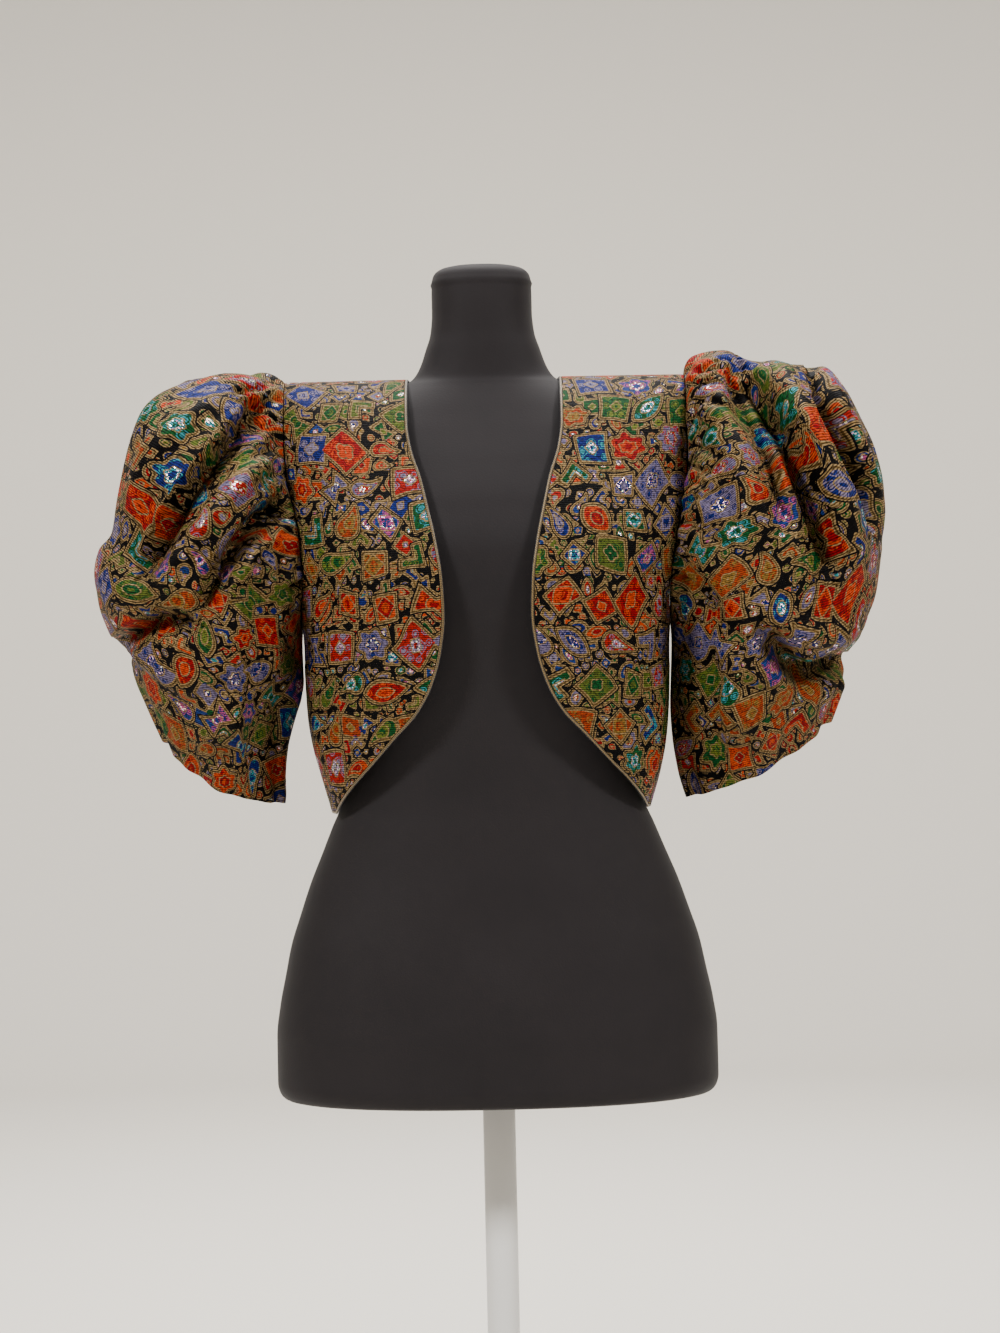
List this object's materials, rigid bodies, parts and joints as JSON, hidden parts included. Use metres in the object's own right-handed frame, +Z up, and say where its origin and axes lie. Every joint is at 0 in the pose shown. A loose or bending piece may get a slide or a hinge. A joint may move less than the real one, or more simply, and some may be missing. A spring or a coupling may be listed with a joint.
{
  "type": "bolero jacket on dress form",
  "caption": "Collarless cropped bolero jacket with puffed elbow sleeves in multicolour brocade, on a limbless black dress form with a pole stand.",
  "frame": {"origin": "centre of the stand's underside, on the floor", "axes": "+Z up the pole, -Y the way the dress form faces, +X towards the wearer's left"},
  "size_m": [0.6451, 0.34, 1.477],
  "materials": {
    "brocade": "dense jacquard brocade with metallic yarns",
    "piping": "satin corded piping",
    "form_jersey": "matte stretch jersey",
    "stand_enamel": "gloss enamel"
  },
  "bodies": {
    "root": {"right_front": "brocade", "left_front": "brocade", "back": "brocade", "right_sleeve": "brocade", "left_sleeve": "brocade", "right_front_piping": "piping", "left_front_piping": "piping", "back_neck_piping": "piping", "back_hem_piping": "piping", "form_torso": "form_jersey", "stand_pole": "stand_enamel", "stand_base": "stand_enamel"}
  },
  "joints": []
}
